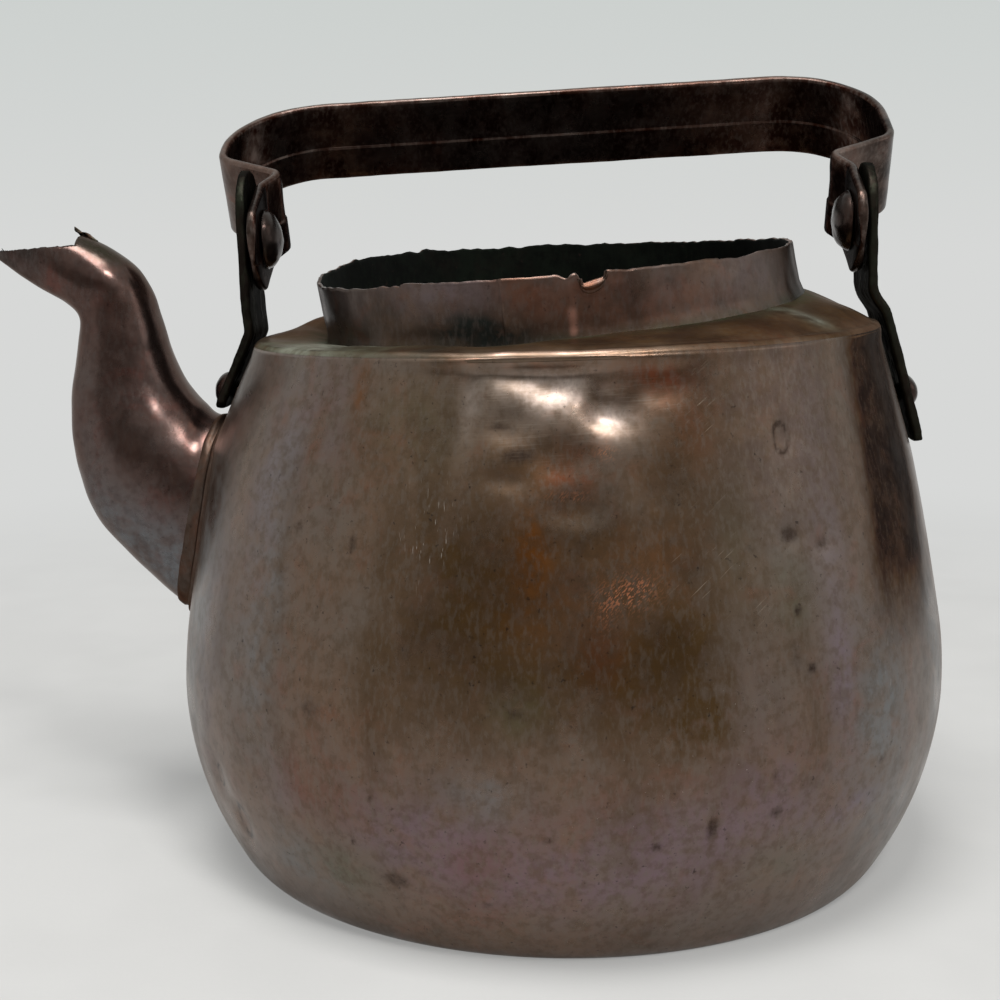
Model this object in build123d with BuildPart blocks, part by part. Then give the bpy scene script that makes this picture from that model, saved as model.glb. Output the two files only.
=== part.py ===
from build123d import *
from math import cos, radians, sin, tan
import os

# Old copper tea kettle with a goose-neck spout and a swinging strap handle, in millimetres.
# The origin is the middle of the base on the table, Z is up and the spout points to -X.

# Copper sheet and the gaps of the soldered and riveted joints
wall = 1.4
plate = 1.2
joint_gap = 0.1
rivet_fit = 0.05

# Body wall: outer radius at six heights, and above them the oval edge where the shoulder folds
base_radius = 80.6
base_run = (1.0, 0.9)
heel_height = 6.0
heel_radius = 85.0
flank_height = 20.0
flank_radius = 91.2
belly_height = 42.0
belly_radius = 95.3
chest_height = 72.0
chest_radius = 92.0
upper_height = 100.0
upper_radius = 85.8
crease_half_length = 76.2
crease_half_width = 79.0
crease_height = 127.8
crease_shift = 1.0
crease_slope = 2.0

# Bottom pan, let into the wall
pan_rim_height = 5.0

# Shoulder and neck collar: the collar leans to the spout and its rim is torn
shoulder_flange = 5.0
collar_radius = 58.3
collar_wall = 1.2
collar_foot_shift = 0.7
collar_foot_height = 131.3
collar_foot_slope = 6.4
collar_foot_pitch = 3.1
collar_rim_shift = -2.2
collar_rim_height = 144.9
collar_rim_slope = 4.6
collar_rim_pitch = 2.5
lap_width = 14.5
lap_proud = 0.7
lap_drop = 13.9
lap_angle = -94.5
tear_width = 7.5
tear_depth = 2.6
tear_angle = -81.2

# Goose-neck spout: how thick its sheet is and how wide it is across, from foot to beak
spout_wall = 1.2
spout_band_proud = 0.4
spout_band_lift = 1.6
spout_root_depth = 14.0
spout_foot_width = 36.0
spout_heel_width = 35.0
spout_belly_width = 33.0
spout_waist_width = 29.0
spout_neck_width = 25.0
spout_throat_width = 21.0
spout_bend_width = 19.6
spout_beak_width = 15.0
spout_tip_width = 5.6
mouth_back = -119.5
mouth_height = 148.2
mouth_slope = 4.5

# Strap handle: a folded strip, bent like an omega, that swings on two rivets
pivot_height = 151.5
pivot_shift = -1.5
pivot_slope = 1.84
handle_lean = 62.0
strap_width = 22.0
strap_thickness = 2.6
strap_edge_chamfer = 0.8
strap_seam_depth = 0.5
strap_seam_width = 0.6
strap_seam_place = 1.4
grip_reach = 60.0
grip_slope = 3.55
grip_corner_radius = 25.0
handle_half_span = 85.4
elbow_reach = 25.0
elbow_radius = 6.0
neck_half_span = 68.9
neck_reach = 15.6
neck_bend_radius = 2.4
tab_bend_reach = 8.7
tab_bend_radius = 4.0
tab_end_radius = 12.6
tab_side_gap = 0.3

# Strap ears, riveted to the body, that carry the handle
ear_half_span = 74.5
ear_thickness = 2.5
ear_width = 21.0
spout_ear_top_rise = 17.0
rear_ear_top_rise = 13.8
ear_bend_drop = 17.0
ear_bend_radius = 6.0
ear_fold_rise = 1.5
ear_fold_radius = 3.0
ear_wall_gap = 0.6
ear_edge_chamfer = 0.5
ear_foot_corner = 4.0
spout_ear_foot_height = 107.6
rear_ear_foot_height = 100.4

# Rivets
ear_rivet_height = 112.4
ear_rivet_shank = 4.4
ear_rivet_head = 9.0
ear_rivet_head_height = 3.2
ear_rivet_tail = 7.6
ear_rivet_tail_height = 1.0
ear_rivet_seat = 0.15
pivot_shank = 6.0
pivot_running_gap = 0.08
pivot_end_play = 0.05
pivot_head = 15.0
pivot_head_height = 4.2
pivot_tail = 9.4
pivot_tail_height = 1.0
hole_cutter = 40.0

os.makedirs("parts", exist_ok=True)


def sloped_plane(shift, height, slope, pitch=0.0):
    """A plane that rises by slope degrees to +X and by pitch degrees to +Y."""
    rise_x = tan(radians(slope))
    rise_y = tan(radians(pitch))
    return Plane(origin=(shift, 0, height), x_dir=(1, 0, rise_x), z_dir=(-rise_x, -rise_y, 1))


def crosswise(plane):
    """The same plane with its X axis across the kettle, along which its ovals are wider."""
    return Plane(origin=plane.origin, x_dir=plane.y_dir, z_dir=plane.z_dir)


def stacked(stations):
    """A solid with straight sides between oval sections, each a plane and its half width and half length."""
    with BuildPart() as form:
        for plane, half_width, half_length in stations:
            with BuildSketch(crosswise(plane)):
                Ellipse(half_width, half_length)
        loft(ruled=True)
    return form.part


crease_plane = sloped_plane(crease_shift, crease_height, crease_slope)
foot_plane = sloped_plane(collar_foot_shift, collar_foot_height, collar_foot_slope, collar_foot_pitch)
rim_plane = sloped_plane(collar_rim_shift, collar_rim_height, collar_rim_slope, collar_rim_pitch)
wall_top = crease_plane.offset(-plate)

body_profile = [
    (base_radius, 0),
    (heel_radius, heel_height),
    (flank_radius, flank_height),
    (belly_radius, belly_height),
    (chest_radius, chest_height),
    (upper_radius, upper_height),
]
upper_run = (crease_half_width - upper_radius, wall_top.origin.Z - upper_height)


def body_form(grow):
    """The body as a solid, its outer surface moved out by grow: a round belly and a straight upper wall."""
    points = [(radius + grow, height) for radius, height in body_profile]
    with BuildPart() as form:
        with BuildSketch(Plane.XZ):
            with BuildLine():
                Spline(*points, tangents=[base_run, upper_run])
                Polyline(points[-1], (0, upper_height), (0, 0), points[0])
            make_face()
        revolve(axis=Axis.Z)
        low, across, along = upper_radius + grow, crease_half_width + grow, crease_half_length + grow
        add(stacked([(Plane.XY.offset(upper_height), low, low), (wall_top, across, along)]))
    return form.part


body_outside = body_form(0)
body_inside = body_form(-wall)
body_clear = body_form(joint_gap)


def wall_line(side):
    """The outer line of the upper wall in the XZ plane, on one side: its low end and its top."""
    return Vector(side * upper_radius, 0, upper_height), wall_top.origin + wall_top.x_dir * (side * crease_half_length)


# The spout is lofted through ovals. Each oval stands between a point on the throat side, under
# the spout, and a point on its outer side, both in the XZ plane, and has a width across.
spout_ovals = [
    ((-95.7, 57.4), (-86.9, 105.6), spout_foot_width),
    ((-108.6, 66.8), (-90.2, 108.4), spout_heel_width),
    ((-118.6, 77.6), (-93.4, 112.0), spout_belly_width),
    ((-123.4, 92.5), (-96.2, 116.6), spout_waist_width),
    ((-123.9, 108.5), (-98.4, 122.6), spout_neck_width),
    ((-121.0, 122.4), (-100.3, 130.2), spout_throat_width),
    ((-120.2, 129.4), (-103.4, 138.2), spout_bend_width),
    ((-123.6, 133.3), (-109.3, 145.0), spout_bend_width),
    ((-131.2, 137.6), (-121.2, 151.0), spout_beak_width),
]
beak_tip = ((-141.8, 144.4), (-136.0, 152.6), spout_tip_width)


def oval_plane(throat, back):
    """The plane of one spout oval, its X axis running from the throat side to the outer side."""
    middle = ((throat[0] + back[0]) / 2, 0, (throat[1] + back[1]) / 2)
    along = (back[0] - throat[0], 0, back[1] - throat[1])
    return Plane(origin=middle, x_dir=along, z_dir=(-along[2], 0, along[0]))


def oval_length(throat, back):
    """The long axis of one spout oval."""
    return ((back[0] - throat[0]) ** 2 + (back[1] - throat[1]) ** 2) ** 0.5


def spout_form(shrink):
    """The spout as a solid, its surface moved in by shrink: a curved neck and a straight beak."""
    with BuildPart() as form:
        for ovals in (spout_ovals, [spout_ovals[-1], beak_tip]):
            for throat, back, width in ovals:
                with BuildSketch(oval_plane(throat, back)):
                    Ellipse(oval_length(throat, back) / 2 - shrink, width / 2 - shrink)
            loft()
    return form.part


foot_throat, foot_back, foot_width = spout_ovals[0]
spout_foot_plane = oval_plane(foot_throat, foot_back)
spout_foot_length = oval_length(foot_throat, foot_back)
spout_outside = spout_form(0)
spout_inside = spout_form(spout_wall)

# Pivot line: it crosses the kettle from ear to ear, and rises a little to the rear
pivot_axis = Vector(cos(radians(pivot_slope)), 0, sin(radians(pivot_slope)))
pivot_up = Vector(-sin(radians(pivot_slope)), 0, cos(radians(pivot_slope)))
pivot_middle = Vector(pivot_shift, 0, pivot_height)


def pivot_point(side, distance, rise=0.0):
    """A point in the XZ plane, by its distance along the pivot line and its rise above it."""
    return pivot_middle + pivot_axis * (side * distance) + pivot_up * rise


def rivet(face, grip, shank, head, head_height, tail, tail_height):
    """A rivet with a domed head on a face, its shank running back to a flat hammered tail."""
    with BuildPart() as made:
        with BuildSketch(Plane(origin=face.origin, x_dir=face.x_dir, z_dir=-face.y_dir)):
            with BuildLine():
                TangentArc((0, head_height), (head / 2, 0), tangent=(1, 0))
                Polyline(
                    (head / 2, 0),
                    (shank / 2, 0),
                    (shank / 2, -grip),
                    (tail / 2, -grip),
                    (tail / 2 - tail_height / 2, -grip - tail_height),
                    (0, -grip - tail_height),
                    (0, head_height),
                )
            make_face()
        revolve(axis=Axis(face.origin, face.z_dir))
    return made.part


# Ears: each is a strap whose tongue stands up past the pivot and whose foot lies on the body
def ear_line(side, top_rise, foot_height):
    """Middle line of an ear in the XZ plane: top, bend, the fold over the crease, foot."""
    half = ear_thickness / 2
    top = pivot_point(side, ear_half_span + half, top_rise)
    bend = pivot_point(side, ear_half_span + half, -ear_bend_drop)
    low, high = wall_line(side)
    run = high - low
    outward = Vector(run.Z, 0, -run.X).normalized() * side
    start = low + outward * (ear_wall_gap + half)
    fold_height = high.Z + plate + ear_fold_rise
    fold = start + run * ((fold_height - start.Z) / run.Z)
    foot = start + run * ((foot_height - start.Z) / run.Z)
    return top, bend, fold, foot


def ear_strap(side, top_rise, foot_height):
    """A strap ear before its holes."""
    top, bend, fold, foot = ear_line(side, top_rise, foot_height)
    with BuildPart() as strap:
        with BuildLine() as line:
            FilletPolyline(top, bend, fold, foot, radius=(ear_bend_radius, ear_fold_radius))
        with BuildSketch(Plane(origin=line.line @ 0, x_dir=(0, 1, 0), z_dir=line.line % 0)) as section:
            Rectangle(ear_width, ear_thickness)
            chamfer(section.vertices(), ear_edge_chamfer)
        sweep()
        with BuildSketch(Plane.YZ) as outline:
            with Locations((0, top.Z - ear_width / 2)):
                Circle(ear_width / 2)
            with Locations((0, foot_height)):
                Rectangle(
                    ear_width,
                    top.Z - ear_width / 2 - foot_height,
                    align=(Align.CENTER, Align.MIN),
                )
            fillet(outline.vertices().group_by(Axis.Y)[0], ear_foot_corner)
        extrude(amount=2 * crease_half_length, both=True, mode=Mode.INTERSECT)
    return strap.part


def ear_rivet_face(side, top_rise, foot_height):
    """The plane of an ear's outer face at its rivet."""
    top, bend, fold, foot = ear_line(side, top_rise, foot_height)
    along = (foot - fold).normalized()
    outward = Vector(-along.Z, 0, along.X) * side
    reach = (ear_rivet_height - fold.Z) / along.Z
    return Plane(origin=fold + along * reach + outward * (ear_thickness / 2), x_dir=(0, 1, 0), z_dir=outward)


def pivot_face(side):
    """The plane of a handle tab's inner face at its rivet, facing the middle of the kettle."""
    inner = ear_half_span - tab_side_gap - strap_thickness - pivot_end_play
    return Plane(origin=pivot_point(side, inner), x_dir=(0, 1, 0), z_dir=pivot_axis * -side)


ears = {
    "spout_ear": (-1, spout_ear_top_rise, spout_ear_foot_height),
    "rear_ear": (1, rear_ear_top_rise, rear_ear_foot_height),
}
pivot_names = {"spout_ear": "spout_pivot_rivet", "rear_ear": "rear_pivot_rivet"}
pivot_grip = strap_thickness + 2 * pivot_end_play + tab_side_gap + ear_thickness
ear_rivet_grip = ear_thickness + ear_wall_gap + wall + ear_rivet_seat

for ear_name, (side, top_rise, foot_height) in ears.items():
    rivet_face = ear_rivet_face(side, top_rise, foot_height)
    blank = ear_strap(side, top_rise, foot_height)
    with BuildPart() as ear:
        add(blank)
        with Locations(rivet_face):
            Cylinder(ear_rivet_shank / 2 + rivet_fit, hole_cutter, mode=Mode.SUBTRACT)
        with Locations(pivot_face(side)):
            Cylinder(pivot_shank / 2 + rivet_fit, hole_cutter, mode=Mode.SUBTRACT)
    ear.part.label = ear_name
    export_step(ear.part, f"parts/{ear_name}.step")

    foot_rivet = rivet(
        rivet_face,
        ear_rivet_grip,
        ear_rivet_shank,
        ear_rivet_head,
        ear_rivet_head_height,
        ear_rivet_tail,
        ear_rivet_tail_height,
    )
    foot_rivet.label = ear_name + "_rivet"
    export_step(foot_rivet, f"parts/{ear_name}_rivet.step")

    pivot_name = pivot_names[ear_name]
    pivot_rivet = rivet(
        pivot_face(side),
        pivot_grip,
        pivot_shank,
        pivot_head,
        pivot_head_height,
        pivot_tail,
        pivot_tail_height,
    )
    pivot_rivet.label = pivot_name
    export_step(pivot_rivet, f"parts/{pivot_name}.step")

# Body wall: a raised barrel, open at both ends, pierced for the spout and the ear rivets
with BuildPart() as body_wall:
    add(body_outside)
    add(body_inside, mode=Mode.SUBTRACT)
    with BuildSketch(spout_foot_plane):
        Ellipse(spout_foot_length / 2 - spout_wall, foot_width / 2 - spout_wall)
    extrude(amount=2 * spout_root_depth, both=True, mode=Mode.SUBTRACT)
    for side, top_rise, foot_height in ears.values():
        with Locations(ear_rivet_face(side, top_rise, foot_height)):
            Cylinder(ear_rivet_shank / 2 + rivet_fit, hole_cutter, mode=Mode.SUBTRACT)
body_wall.part.label = "body_wall"
export_step(body_wall.part, "parts/body_wall.step")

# Bottom pan: a flat floor with a low rim that follows the inside of the wall
pan_outside = body_form(-wall - joint_gap)
pan_inside = body_form(-wall - joint_gap - plate)
with BuildPart() as pan_hollow:
    with BuildSketch(Plane.XY.offset(plate)):
        Circle(belly_radius)
    extrude(amount=pan_rim_height)
    add(pan_inside, mode=Mode.INTERSECT)
with BuildPart() as bottom_plate:
    with BuildSketch():
        Circle(belly_radius)
    extrude(amount=pan_rim_height)
    add(pan_outside, mode=Mode.INTERSECT)
    add(pan_hollow.part, mode=Mode.SUBTRACT)
bottom_plate.part.label = "bottom_plate"
export_step(bottom_plate.part, "parts/bottom_plate.step")

# Shoulder: a raised ring between the crease and the neck, with a flange turned down in the wall
flange_half_width = crease_half_width - wall - joint_gap
flange_half_length = crease_half_length - wall - joint_gap
shoulder_outside = stacked(
    [
        (wall_top.offset(-shoulder_flange), crease_half_width, crease_half_length),
        (crease_plane, crease_half_width, crease_half_length),
        (foot_plane, collar_radius, collar_radius),
    ]
)
shoulder_inside = stacked(
    [
        (wall_top.offset(-shoulder_flange - plate), flange_half_width - plate, flange_half_length - plate),
        (wall_top, flange_half_width - plate, flange_half_length - plate),
        (foot_plane.offset(-plate), collar_radius, collar_radius),
    ]
)
with BuildPart() as shoulder_plate:
    add(shoulder_outside)
    add(shoulder_inside, mode=Mode.SUBTRACT)
    with BuildSketch(foot_plane.offset(-shoulder_flange)):
        Circle(collar_radius - collar_wall)
    extrude(amount=2 * shoulder_flange, mode=Mode.SUBTRACT)
    with BuildSketch(crosswise(wall_top)):
        Circle(crease_half_width + wall)
        Ellipse(flange_half_width, flange_half_length, mode=Mode.SUBTRACT)
    extrude(amount=-2 * shoulder_flange, mode=Mode.SUBTRACT)
shoulder_plate.part.label = "shoulder_plate"
export_step(shoulder_plate.part, "parts/shoulder_plate.step")

# Neck collar: a rolled strip with a lapped seam, soldered on the shoulder, its rim torn in front
def collar_form(radius):
    """The leaning collar as a solid of one radius."""
    return stacked([(foot_plane, radius, radius), (rim_plane, radius, radius)])


def collar_sector(angle, width, low):
    """A block across the collar's wall at an angle, from low to well above the rim."""
    with BuildPart() as block:
        with BuildSketch(rim_plane.offset(low)):
            with PolarLocations(collar_radius, 1, start_angle=angle):
                Rectangle(4 * (lap_proud + collar_wall), width)
        extrude(amount=collar_rim_height)
    return block.part


collar_outside = collar_form(collar_radius)
collar_inside = collar_form(collar_radius - collar_wall)
lap_sector = collar_sector(lap_angle, lap_width, -lap_drop)
tear = collar_sector(tear_angle, tear_width, -tear_depth)
with BuildPart() as lap_ply:
    add(collar_form(collar_radius + lap_proud))
    add(lap_sector, mode=Mode.INTERSECT)
with BuildPart() as neck_collar:
    add(collar_outside)
    add(lap_ply.part)
    add(collar_inside, mode=Mode.SUBTRACT)
    add(tear, mode=Mode.SUBTRACT)
neck_collar.part.label = "neck_collar"
export_step(neck_collar.part, "parts/neck_collar.step")

# Spout: a tapered goose neck whose foot band is soldered on the wall; the beak is open on top
with BuildPart() as spout:
    add(spout_outside)
    with BuildSketch(spout_foot_plane):
        Ellipse(spout_foot_length / 2, foot_width / 2)
    extrude(amount=-spout_root_depth)
    with BuildSketch(spout_foot_plane.offset(spout_band_lift)):
        Ellipse(spout_foot_length / 2 + spout_band_proud, foot_width / 2 + spout_band_proud)
    extrude(amount=-spout_root_depth)
    add(spout_inside, mode=Mode.SUBTRACT)
    with BuildSketch(spout_foot_plane):
        Ellipse(spout_foot_length / 2 - spout_wall, foot_width / 2 - spout_wall)
    extrude(amount=-2 * spout_root_depth, mode=Mode.SUBTRACT)
    add(body_clear, mode=Mode.SUBTRACT)
    mouth_run = Vector(-cos(radians(mouth_slope)), 0, -sin(radians(mouth_slope)))
    mouth_corner = Vector(mouth_back, 0, mouth_height)
    with BuildSketch(Plane(origin=mouth_corner, x_dir=mouth_run, z_dir=(0, 1, 0))):
        Rectangle(spout_foot_length, spout_foot_length, align=(Align.MIN, Align.MIN))
    extrude(amount=spout_foot_width, both=True, mode=Mode.SUBTRACT)
spout.part.label = "spout"
export_step(spout.part, "parts/spout.step")

# Handle: one folded strap swept along its omega shape, with a lap seam on the palm side
handle_up = pivot_up * cos(radians(handle_lean)) + Vector(0, 1, 0) * sin(radians(handle_lean))
handle_plane = Plane(origin=pivot_middle, x_dir=pivot_axis, z_dir=pivot_axis.cross(handle_up))
tab_middle = ear_half_span - tab_side_gap - strap_thickness / 2


def grip_height(across):
    """Reach of the grip's middle line from the pivots, which grows to the rear."""
    return grip_reach + across * tan(radians(grip_slope))


half_line = [
    (tab_middle, -tab_end_radius),
    (tab_middle, tab_bend_reach),
    (neck_half_span, neck_reach),
    (handle_half_span, elbow_reach),
]
bend_radii = [tab_bend_radius, neck_bend_radius, elbow_radius]
grip_corners = [
    (handle_half_span, grip_height(handle_half_span)),
    (-handle_half_span, grip_height(-handle_half_span)),
]
handle_points = half_line + grip_corners + [(-x, y) for x, y in reversed(half_line)]
handle_radii = bend_radii + [grip_corner_radius] * 2 + bend_radii[::-1]

with BuildPart() as handle:
    with BuildLine(handle_plane) as strap_line:
        FilletPolyline(*handle_points, radius=handle_radii)
    with BuildSketch(
        Plane(origin=strap_line.line @ 0, x_dir=handle_plane.z_dir, z_dir=strap_line.line % 0)
    ) as strap_section:
        Rectangle(strap_width, strap_thickness)
        chamfer(strap_section.vertices(), strap_edge_chamfer)
        with Locations((-strap_seam_place, -strap_thickness / 2)):
            Rectangle(strap_seam_width, 2 * strap_seam_depth, mode=Mode.SUBTRACT)
    sweep()
    with BuildSketch(Plane(origin=pivot_middle, x_dir=handle_up, z_dir=pivot_axis)):
        Rectangle(2 * strap_width, 2 * strap_width, align=(Align.MAX, Align.CENTER))
        Circle(tab_end_radius, mode=Mode.SUBTRACT)
    extrude(amount=handle_half_span, both=True, mode=Mode.SUBTRACT)
    for side in (-1, 1):
        with Locations(pivot_face(side)):
            Cylinder(pivot_shank / 2 + pivot_running_gap, hole_cutter, mode=Mode.SUBTRACT)
handle.part.label = "handle"
export_step(handle.part, "parts/handle.step")
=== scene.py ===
import math

import bmesh
import bpy
import numpy as np
from mathutils import Matrix, Vector, noise


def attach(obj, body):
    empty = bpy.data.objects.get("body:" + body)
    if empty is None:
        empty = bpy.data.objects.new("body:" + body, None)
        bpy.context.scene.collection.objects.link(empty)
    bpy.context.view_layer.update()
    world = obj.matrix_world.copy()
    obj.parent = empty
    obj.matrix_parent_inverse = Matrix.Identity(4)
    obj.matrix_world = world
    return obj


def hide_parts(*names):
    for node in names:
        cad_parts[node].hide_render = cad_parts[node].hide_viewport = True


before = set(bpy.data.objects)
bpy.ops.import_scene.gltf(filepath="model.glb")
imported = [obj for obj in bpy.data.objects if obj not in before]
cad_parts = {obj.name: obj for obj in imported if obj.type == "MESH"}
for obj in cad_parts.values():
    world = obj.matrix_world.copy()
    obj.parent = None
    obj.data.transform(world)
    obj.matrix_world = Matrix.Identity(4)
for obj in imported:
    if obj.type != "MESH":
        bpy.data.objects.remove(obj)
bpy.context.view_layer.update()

# Body wall
# One sheet of copper, raised from a disc into a barrel and planished with light, flat blows,
# so its face wanders a little. Use has knocked it under the crease and stained it all over.
MM = 0.001


def unit(vectors):
    """The same directions, each of length 1."""
    return vectors / np.maximum(np.linalg.norm(vectors, axis=-1, keepdims=True), 1e-9)


def sloped_ring(shift, height, slope, pitch=0.0):
    """Middle, X, Y and up directions of a ring that rises by slope to +X and by pitch to +Y."""
    rise_x, rise_y = math.tan(math.radians(slope)), math.tan(math.radians(pitch))
    along, up = unit(np.array([1, 0, rise_x])), unit(np.array([-rise_x, -rise_y, 1]))
    return np.array([shift, 0, height], float), along, np.cross(up, along), up


def ring_points(ring, radii, angles):
    """Points of a sloped ring at the given angles, by its radii along the kettle and across it."""
    middle, along, aside, _ = ring
    return (middle + np.cos(angles)[..., None] * along * radii[0]
            + np.sin(angles)[..., None] * aside * radii[1])


def spline_through(points, first_run, last_run):
    """A smooth line through the given points, with the given runs at its two ends."""
    knots = np.array(points, float)
    steps = np.linalg.norm(np.diff(knots, axis=0), axis=1)
    left, right = np.eye(len(knots)), np.zeros(knots.shape)
    right[0], right[-1] = unit(np.array(first_run)), unit(np.array(last_run))
    for i in range(1, len(steps)):
        before, after = steps[i - 1], steps[i]
        left[i, i - 1:i + 2] = after, 2 * (before + after), before
        right[i] = 3 * (after * (knots[i] - knots[i - 1]) / before + before * (knots[i + 1] - knots[i]) / after)
    runs = np.linalg.solve(left, right)
    line = []
    for i, step in enumerate(steps):
        t = np.linspace(0, 1, 200, endpoint=i == len(steps) - 1)[:, None]
        line.append((2 * t**3 - 3 * t**2 + 1) * knots[i] + (t**3 - 2 * t**2 + t) * step * runs[i]
                    + (3 * t**2 - 2 * t**3) * knots[i + 1] + (t**3 - t**2) * step * runs[i + 1])
    return np.concatenate(line)


def evenly_along(line, count=None, spacing=None):
    """Points at even spaces along a line, and how far along it each of them is."""
    travelled = np.concatenate([[0], np.cumsum(np.linalg.norm(np.diff(line, axis=0), axis=1))])
    places = np.linspace(0, travelled[-1], count or int(travelled[-1] / spacing))
    return np.stack([np.interp(places, travelled, values) for values in line.T], 1), places


# The crease is an oval, wider across the kettle. The wall's top edge lies one plate under it.
crease = sloped_ring(1.0, 127.8, 2.0)
crease_radii = np.array([76.2, 79.0])
plate = 1.2
wall_top = (crease[0] - plate * crease[3],) + crease[1:]
chest = (85.8, 100)
belly, _ = evenly_along(spline_through(
    [(80.6, 0), (85.0, 6), (91.2, 20), (95.3, 42), (92.0, 72), chest], (1.0, 0.9), (-6.8, 26.6)), count=600)
belly_length = np.linalg.norm(np.diff(belly, axis=0), axis=1).sum()
upper_length = 27.5


def front_first(left, right, in_front, behind):
    """Angles all the way round, closer together in front, from left to right, than behind."""
    return np.radians(np.concatenate([np.linspace(left, right, in_front, endpoint=False),
                                      np.linspace(right, left + 360, behind, endpoint=False)]))


# A turned belly, and above it a straight wall up to the sloped crease
turn, climb = np.meshgrid(front_first(-165, -15, 210, 110), np.linspace(0, 1, 150))
far = climb * (belly_length + upper_length)
on_belly = np.clip(far / belly_length, 0, 1) * (len(belly) - 1)
radius, height = [np.interp(on_belly, np.arange(len(belly)), values) for values in belly.T]
rise = np.clip((far - belly_length) / upper_length, 0, 1)[..., None]
wall = (np.stack([radius * np.cos(turn), radius * np.sin(turn), height], -1) * (1 - rise)
        + ring_points(wall_top, crease_radii, turn) * rise)


def outward_of(grid):
    """Outward directions of a closed grid whose rows climb and whose columns turn to the left."""
    return unit(np.cross(np.roll(grid, -1, 1) - np.roll(grid, 1, 1), np.gradient(grid, axis=0)))


def turn_between(angles, degrees):
    """Signed turn in degrees from a given direction to each angle."""
    return (np.degrees(angles) - degrees + 180) % 360 - 180


def reach_of(angles, points, degrees, height, across, up):
    """How far each point is from a spot's middle: 1 on the oval of its half width and half height."""
    aside = np.radians(turn_between(angles, degrees)) * np.hypot(points[..., 0], points[..., 1])
    return np.hypot(aside / across, (points[..., 2] - height) / up)


def blot(angles, points, spots):
    """Sum of soft spots, each given by angle, height, half width, half height and strength."""
    return sum(spot[4] / (1 + reach_of(angles, points, *spot[:4]) ** 3.2) for spot in spots)


def wander(points, size, seed):
    """Soft hills and hollows between -1 and 1, each about size millimetres across."""
    shift = Vector((seed * 7.1, seed * 3.7, seed * 5.3))
    flat = points.reshape(-1, 3) / size
    return np.array([noise.noise(Vector(p) + shift) for p in flat]).reshape(points.shape[:-1])


def smooth(value, low, high):
    """0 below low, 1 above high, and an even change between them."""
    t = np.clip((value - low) / (high - low), 0, 1)
    return t * t * (3 - 2 * t)


def between(value, start, full, ebb, end):
    """0 up to the start, 1 from full to ebb, and 0 again from the end."""
    return smooth(value, start, full) * (1 - smooth(value, ebb, end))


# Knocks: angle, height, half width, half height and depth in millimetres
foot_knock = (-168, 58, 34, 30, 1.3)
knocks = [
    (-110.5, 112, 9, 15, 0.5), (-103.5, 117, 2.2, 8, 0.8), (-98.5, 123.5, 5, 3.0, 1.0),
    (-91.5, 123.5, 8.5, 5.6, 2.7), (-83.0, 116.6, 5.5, 4.4, 2.0), (-75, 121, 7, 4, 0.9),
    (-97.5, 113, 5, 3.6, 0.9), (-90, 107, 7, 4, 0.8), foot_knock, (-97.1, 102.5, 4, 2.2, 0.6),
    (-88, 97, 5, 3, 0.5), (-141.4, 19.8, 3.2, 4.5, 0.9), (-145.7, 29, 4, 5, 0.7),
    (-56.7, 109.3, 2.2, 3.0, 0.35), (-57.6, 90, 2.6, 2.2, 0.3), (-52, 87.5, 2.4, 2, 0.3), (-34, 100, 9, 30, 1.0),
    (-20, 98, 10, 30, 0.8), (-66, 98, 12, 20, 0.4), (-124, 92, 10, 22, 0.45), (-88, 66, 20, 14, 0.35),
    (-133, 40, 5, 7, 0.5), (35, 60, 9, 8, 0.9), (78, 92, 10, 7, 1.0), (112, 34, 8, 9, 0.8), (150, 70, 9, 12, 0.7),
]
planished = 0.26 * (wander(wall, 30, 1) + 0.4 * wander(wall, 12, 2) - 0.8)
wall = wall + outward_of(wall) * ((planished - blot(turn, wall, knocks))
                                  * between(climb, 0.0, 0.05, 0.975, 1.0))[..., None]


def hump(offset, width):
    """1 in the middle and softly less to both sides."""
    return np.exp(-((offset / width) ** 2))


def near(offset, full, gone):
    """1 up to the full distance to both sides, and 0 where it is gone."""
    return 1 - smooth(np.abs(offset), full, gone)


def stain(angles, points, spots, besides=0):
    """How thick a stain lies on each point: its spots, and what lies there besides."""
    return np.clip(besides + blot(angles, points, spots), 0, 1.2)


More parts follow.
